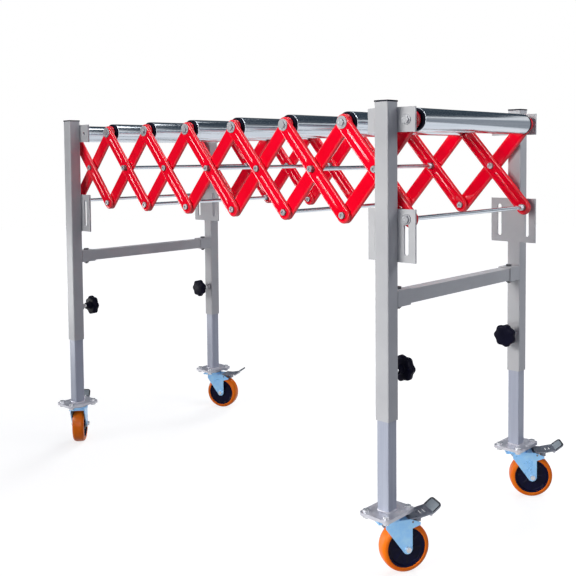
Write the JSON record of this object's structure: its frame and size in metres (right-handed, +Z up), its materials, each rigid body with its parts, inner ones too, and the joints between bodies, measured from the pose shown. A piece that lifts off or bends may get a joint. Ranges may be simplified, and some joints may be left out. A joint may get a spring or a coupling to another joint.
{
  "type": "roller conveyor table",
  "caption": "Expandable gravity roller conveyor on a red scissor lattice, with height-adjustable tube legs and braked swivel castors.",
  "frame": {"origin": "on the floor under the middle of the lattice, with the lattice fully pulled out", "axes": "+X along the conveyor towards the right leg frame, +Y along the rollers to the far side, +Z up"},
  "size_m": [1.3866, 0.6964, 1],
  "materials": {
    "red_paint": "glossy red paint on pressed steel",
    "roller_zinc": "bright zinc-plated tube with black plastic ends",
    "grey_paint": "silver-grey powder coat",
    "leg_zinc": "bright zinc-plated steel",
    "steel_bolts": "bright steel hardware",
    "black_plastic": "satin black plastic",
    "fork_zinc": "zinc-plated pressed steel",
    "pedal_zinc": "dull zinc-plated pressed steel",
    "orange_wheel": "orange tyre on a black hub"
  },
  "bodies": {
    "left_frame": {"left_near_leg": "grey_paint", "left_far_leg": "grey_paint", "left_brace": "grey_paint", "left_fasteners": "steel_bolts", "left_tube_caps": "black_plastic"},
    "right_frame": {"right_near_leg": "grey_paint", "right_far_leg": "grey_paint", "right_brace": "grey_paint", "right_fasteners": "steel_bolts", "right_tube_caps": "black_plastic"},
    "falling_1": {"falling_arms_1": "red_paint"},
    "rising_1": {"rising_arms_1": "red_paint", "rising_pivots_1": "steel_bolts"},
    "falling_2": {"falling_arms_2": "red_paint"},
    "rising_2": {"rising_arms_2": "red_paint", "rising_pivots_2": "steel_bolts"},
    "falling_3": {"falling_arms_3": "red_paint"},
    "rising_3": {"rising_arms_3": "red_paint", "rising_pivots_3": "steel_bolts"},
    "falling_4": {"falling_arms_4": "red_paint"},
    "rising_4": {"rising_arms_4": "red_paint", "rising_pivots_4": "steel_bolts"},
    "falling_5": {"falling_arms_5": "red_paint"},
    "rising_5": {"rising_arms_5": "red_paint", "rising_pivots_5": "steel_bolts"},
    "falling_6": {"falling_arms_6": "red_paint"},
    "rising_6": {"rising_arms_6": "red_paint", "rising_pivots_6": "steel_bolts"},
    "falling_7": {"falling_arms_7": "red_paint", "falling_pivots_7": "steel_bolts"},
    "rising_7": {"rising_arms_7": "red_paint", "rising_pivots_7": "steel_bolts"},
    "roller_1": {"roller_1": "roller_zinc"},
    "roller_2": {"roller_2": "roller_zinc"},
    "roller_3": {"roller_3": "roller_zinc"},
    "roller_4": {"roller_4": "roller_zinc"},
    "roller_5": {"roller_5": "roller_zinc"},
    "roller_6": {"roller_6": "roller_zinc"},
    "roller_7": {"roller_7": "roller_zinc"},
    "roller_8": {"roller_8": "roller_zinc"},
    "left_near_inner_leg": {"left_near_inner_leg": "leg_zinc"},
    "left_near_knob": {"left_near_knob": "black_plastic"},
    "left_near_fork": {"left_near_fork": "fork_zinc"},
    "left_near_wheel": {"left_near_wheel": "orange_wheel"},
    "left_near_pedal": {"left_near_pedal": "pedal_zinc"},
    "left_far_inner_leg": {"left_far_inner_leg": "leg_zinc"},
    "left_far_knob": {"left_far_knob": "black_plastic"},
    "left_far_fork": {"left_far_fork": "fork_zinc"},
    "left_far_wheel": {"left_far_wheel": "orange_wheel"},
    "left_far_pedal": {"left_far_pedal": "pedal_zinc"},
    "right_near_inner_leg": {"right_near_inner_leg": "leg_zinc"},
    "right_near_knob": {"right_near_knob": "black_plastic"},
    "right_near_fork": {"right_near_fork": "fork_zinc"},
    "right_near_wheel": {"right_near_wheel": "orange_wheel"},
    "right_near_pedal": {"right_near_pedal": "pedal_zinc"},
    "right_far_inner_leg": {"right_far_inner_leg": "leg_zinc"},
    "right_far_knob": {"right_far_knob": "black_plastic"},
    "right_far_fork": {"right_far_fork": "fork_zinc"},
    "right_far_wheel": {"right_far_wheel": "orange_wheel"},
    "right_far_pedal": {"right_far_pedal": "pedal_zinc"}
  },
  "joints": [
    {"name": "fold", "type": "hinge", "parent": "left_frame", "child": "falling_1", "pos_m": [-0.63, 0, 0.96], "axis": [0, 1, 0], "range_deg": [0, 28.5]},
    {"name": "rising_2_pivot", "type": "hinge", "parent": "falling_1", "child": "rising_2", "pos_m": [-0.45, 0, 0.75342], "axis": [0, 1, 0], "range_deg": [-57, 0]},
    {"name": "falling_3_pivot", "type": "hinge", "parent": "rising_2", "child": "falling_3", "pos_m": [-0.27, 0, 0.96], "axis": [0, 1, 0], "range_deg": [0, 57]},
    {"name": "rising_4_pivot", "type": "hinge", "parent": "falling_3", "child": "rising_4", "pos_m": [-0.09, 0, 0.75342], "axis": [0, 1, 0], "range_deg": [-57, 0]},
    {"name": "falling_4_pivot", "type": "hinge", "parent": "rising_4", "child": "falling_4", "pos_m": [0, 0, 0.85671], "axis": [0, 1, 0], "range_deg": [0, 57]},
    {"name": "rising_5_pivot", "type": "hinge", "parent": "falling_4", "child": "rising_5", "pos_m": [0.09, 0, 0.75342], "axis": [0, 1, 0], "range_deg": [-57, 0]},
    {"name": "falling_6_pivot", "type": "hinge", "parent": "rising_5", "child": "falling_6", "pos_m": [0.27, 0, 0.96], "axis": [0, 1, 0], "range_deg": [0, 57]},
    {"name": "rising_7_pivot", "type": "hinge", "parent": "falling_6", "child": "rising_7", "pos_m": [0.45, 0, 0.75342], "axis": [0, 1, 0], "range_deg": [-57, 0]},
    {"name": "right_frame_pivot", "type": "hinge", "parent": "rising_7", "child": "right_frame", "pos_m": [0.63, 0, 0.96], "axis": [0, 1, 0], "range_deg": [0, 28.5]},
    {"name": "rising_1_pivot", "type": "hinge", "parent": "falling_1", "child": "rising_1", "pos_m": [-0.54, 0, 0.85671], "axis": [0, 1, 0], "range_deg": [-57, 0]},
    {"name": "falling_2_pivot", "type": "hinge", "parent": "rising_2", "child": "falling_2", "pos_m": [-0.36, 0, 0.85671], "axis": [0, 1, 0], "range_deg": [0, 57]},
    {"name": "rising_3_pivot", "type": "hinge", "parent": "falling_3", "child": "rising_3", "pos_m": [-0.18, 0, 0.85671], "axis": [0, 1, 0], "range_deg": [-57, 0]},
    {"name": "falling_5_pivot", "type": "hinge", "parent": "rising_5", "child": "falling_5", "pos_m": [0.18, 0, 0.85671], "axis": [0, 1, 0], "range_deg": [0, 57]},
    {"name": "rising_6_pivot", "type": "hinge", "parent": "falling_6", "child": "rising_6", "pos_m": [0.36, 0, 0.85671], "axis": [0, 1, 0], "range_deg": [-57, 0]},
    {"name": "falling_7_pivot", "type": "hinge", "parent": "rising_7", "child": "falling_7", "pos_m": [0.54, 0, 0.85671], "axis": [0, 1, 0], "range_deg": [0, 57]},
    {"name": "roller_1_spin", "type": "hinge", "parent": "left_frame", "child": "roller_1", "pos_m": [-0.63, 0, 0.96], "axis": [0, 1, 0], "continuous": true},
    {"name": "roller_2_spin", "type": "hinge", "parent": "rising_1", "child": "roller_2", "pos_m": [-0.45, 0, 0.96], "axis": [0, 1, 0], "continuous": true},
    {"name": "roller_3_spin", "type": "hinge", "parent": "rising_2", "child": "roller_3", "pos_m": [-0.27, 0, 0.96], "axis": [0, 1, 0], "continuous": true},
    {"name": "roller_4_spin", "type": "hinge", "parent": "rising_3", "child": "roller_4", "pos_m": [-0.09, 0, 0.96], "axis": [0, 1, 0], "continuous": true},
    {"name": "roller_5_spin", "type": "hinge", "parent": "rising_4", "child": "roller_5", "pos_m": [0.09, 0, 0.96], "axis": [0, 1, 0], "continuous": true},
    {"name": "roller_6_spin", "type": "hinge", "parent": "rising_5", "child": "roller_6", "pos_m": [0.27, 0, 0.96], "axis": [0, 1, 0], "continuous": true},
    {"name": "roller_7_spin", "type": "hinge", "parent": "rising_6", "child": "roller_7", "pos_m": [0.45, 0, 0.96], "axis": [0, 1, 0], "continuous": true},
    {"name": "roller_8_spin", "type": "hinge", "parent": "right_frame", "child": "roller_8", "pos_m": [0.63, 0, 0.96], "axis": [0, 1, 0], "continuous": true},
    {"name": "left_near_leg_slide", "type": "slide", "parent": "left_frame", "child": "left_near_inner_leg", "axis": [0, 0, -1], "range_m": [-0.16, 0.13]},
    {"name": "left_near_knob_turn", "type": "hinge", "parent": "left_frame", "child": "left_near_knob", "pos_m": [-0.592, -0.22248, 0.428], "axis": [0, 1, 0], "range_deg": [0, 360]},
    {"name": "left_near_swivel", "type": "hinge", "parent": "left_near_inner_leg", "child": "left_near_fork", "pos_m": [-0.592, -0.2781, 0.118], "axis": [0, 0, 1], "continuous": true},
    {"name": "left_near_wheel_spin", "type": "hinge", "parent": "left_near_fork", "child": "left_near_wheel", "pos_m": [-0.62068, -0.25317, 0.054], "axis": [-0.6561, -0.7547, 0], "continuous": true},
    {"name": "left_near_brake_press", "type": "hinge", "parent": "left_near_fork", "child": "left_near_pedal", "pos_m": [-0.62974, -0.2453, 0.111], "axis": [-0.6561, -0.7547, 0], "range_deg": [0, 10]},
    {"name": "left_far_leg_slide", "type": "slide", "parent": "left_frame", "child": "left_far_inner_leg", "axis": [0, 0, -1], "range_m": [-0.16, 0.13]},
    {"name": "left_far_knob_turn", "type": "hinge", "parent": "left_frame", "child": "left_far_knob", "pos_m": [-0.592, 0.22248, 0.428], "axis": [0, -1, 0], "range_deg": [0, 360]},
    {"name": "left_far_swivel", "type": "hinge", "parent": "left_far_inner_leg", "child": "left_far_fork", "pos_m": [-0.592, 0.2781, 0.118], "axis": [0, 0, 1], "continuous": true},
    {"name": "left_far_wheel_spin", "type": "hinge", "parent": "left_far_fork", "child": "left_far_wheel", "pos_m": [-0.55702, 0.29295, 0.054], "axis": [-0.3907, 0.9205, 0], "continuous": true},
    {"name": "left_far_brake_press", "type": "hinge", "parent": "left_far_fork", "child": "left_far_pedal", "pos_m": [-0.54597, 0.29764, 0.111], "axis": [-0.3907, 0.9205, 0], "range_deg": [0, 10]},
    {"name": "right_near_leg_slide", "type": "slide", "parent": "right_frame", "child": "right_near_inner_leg", "axis": [0, 0, -1], "range_m": [-0.16, 0.13]},
    {"name": "right_near_knob_turn", "type": "hinge", "parent": "right_frame", "child": "right_near_knob", "pos_m": [0.592, -0.22248, 0.428], "axis": [0, 1, 0], "range_deg": [0, 360]},
    {"name": "right_near_swivel", "type": "hinge", "parent": "right_near_inner_leg", "child": "right_near_fork", "pos_m": [0.592, -0.2781, 0.118], "axis": [0, 0, 1], "continuous": true},
    {"name": "right_near_wheel_spin", "type": "hinge", "parent": "right_near_fork", "child": "right_near_wheel", "pos_m": [0.611, -0.24519, 0.054], "axis": [-0.866, 0.5, 0], "continuous": true},
    {"name": "right_near_brake_press", "type": "hinge", "parent": "right_near_fork", "child": "right_near_pedal", "pos_m": [0.617, -0.2348, 0.111], "axis": [-0.866, 0.5, 0], "range_deg": [0, 10]},
    {"name": "right_far_leg_slide", "type": "slide", "parent": "right_frame", "child": "right_far_inner_leg", "axis": [0, 0, -1], "range_m": [-0.16, 0.13]},
    {"name": "right_far_knob_turn", "type": "hinge", "parent": "right_frame", "child": "right_far_knob", "pos_m": [0.592, 0.22248, 0.428], "axis": [0, -1, 0], "range_deg": [0, 360]},
    {"name": "right_far_swivel", "type": "hinge", "parent": "right_far_inner_leg", "child": "right_far_fork", "pos_m": [0.592, 0.2781, 0.118], "axis": [0, 0, 1], "continuous": true},
    {"name": "right_far_wheel_spin", "type": "hinge", "parent": "right_far_fork", "child": "right_far_wheel", "pos_m": [0.62111, 0.30253, 0.054], "axis": [-0.6428, 0.766, 0], "continuous": true},
    {"name": "right_far_brake_press", "type": "hinge", "parent": "right_far_fork", "child": "right_far_pedal", "pos_m": [0.6303, 0.31024, 0.111], "axis": [-0.6428, 0.766, 0], "range_deg": [0, 10]}
  ],
  "couplings": [
    {"joint": "rising_2_pivot", "follows": "fold", "ratio": -2},
    {"joint": "falling_3_pivot", "follows": "fold", "ratio": 2},
    {"joint": "rising_4_pivot", "follows": "fold", "ratio": -2},
    {"joint": "falling_4_pivot", "follows": "fold", "ratio": 2},
    {"joint": "rising_5_pivot", "follows": "fold", "ratio": -2},
    {"joint": "falling_6_pivot", "follows": "fold", "ratio": 2},
    {"joint": "rising_7_pivot", "follows": "fold", "ratio": -2},
    {"joint": "right_frame_pivot", "follows": "fold", "ratio": 1},
    {"joint": "rising_1_pivot", "follows": "fold", "ratio": -2},
    {"joint": "falling_2_pivot", "follows": "fold", "ratio": 2},
    {"joint": "rising_3_pivot", "follows": "fold", "ratio": -2},
    {"joint": "falling_5_pivot", "follows": "fold", "ratio": 2},
    {"joint": "rising_6_pivot", "follows": "fold", "ratio": -2},
    {"joint": "falling_7_pivot", "follows": "fold", "ratio": 2}
  ]
}
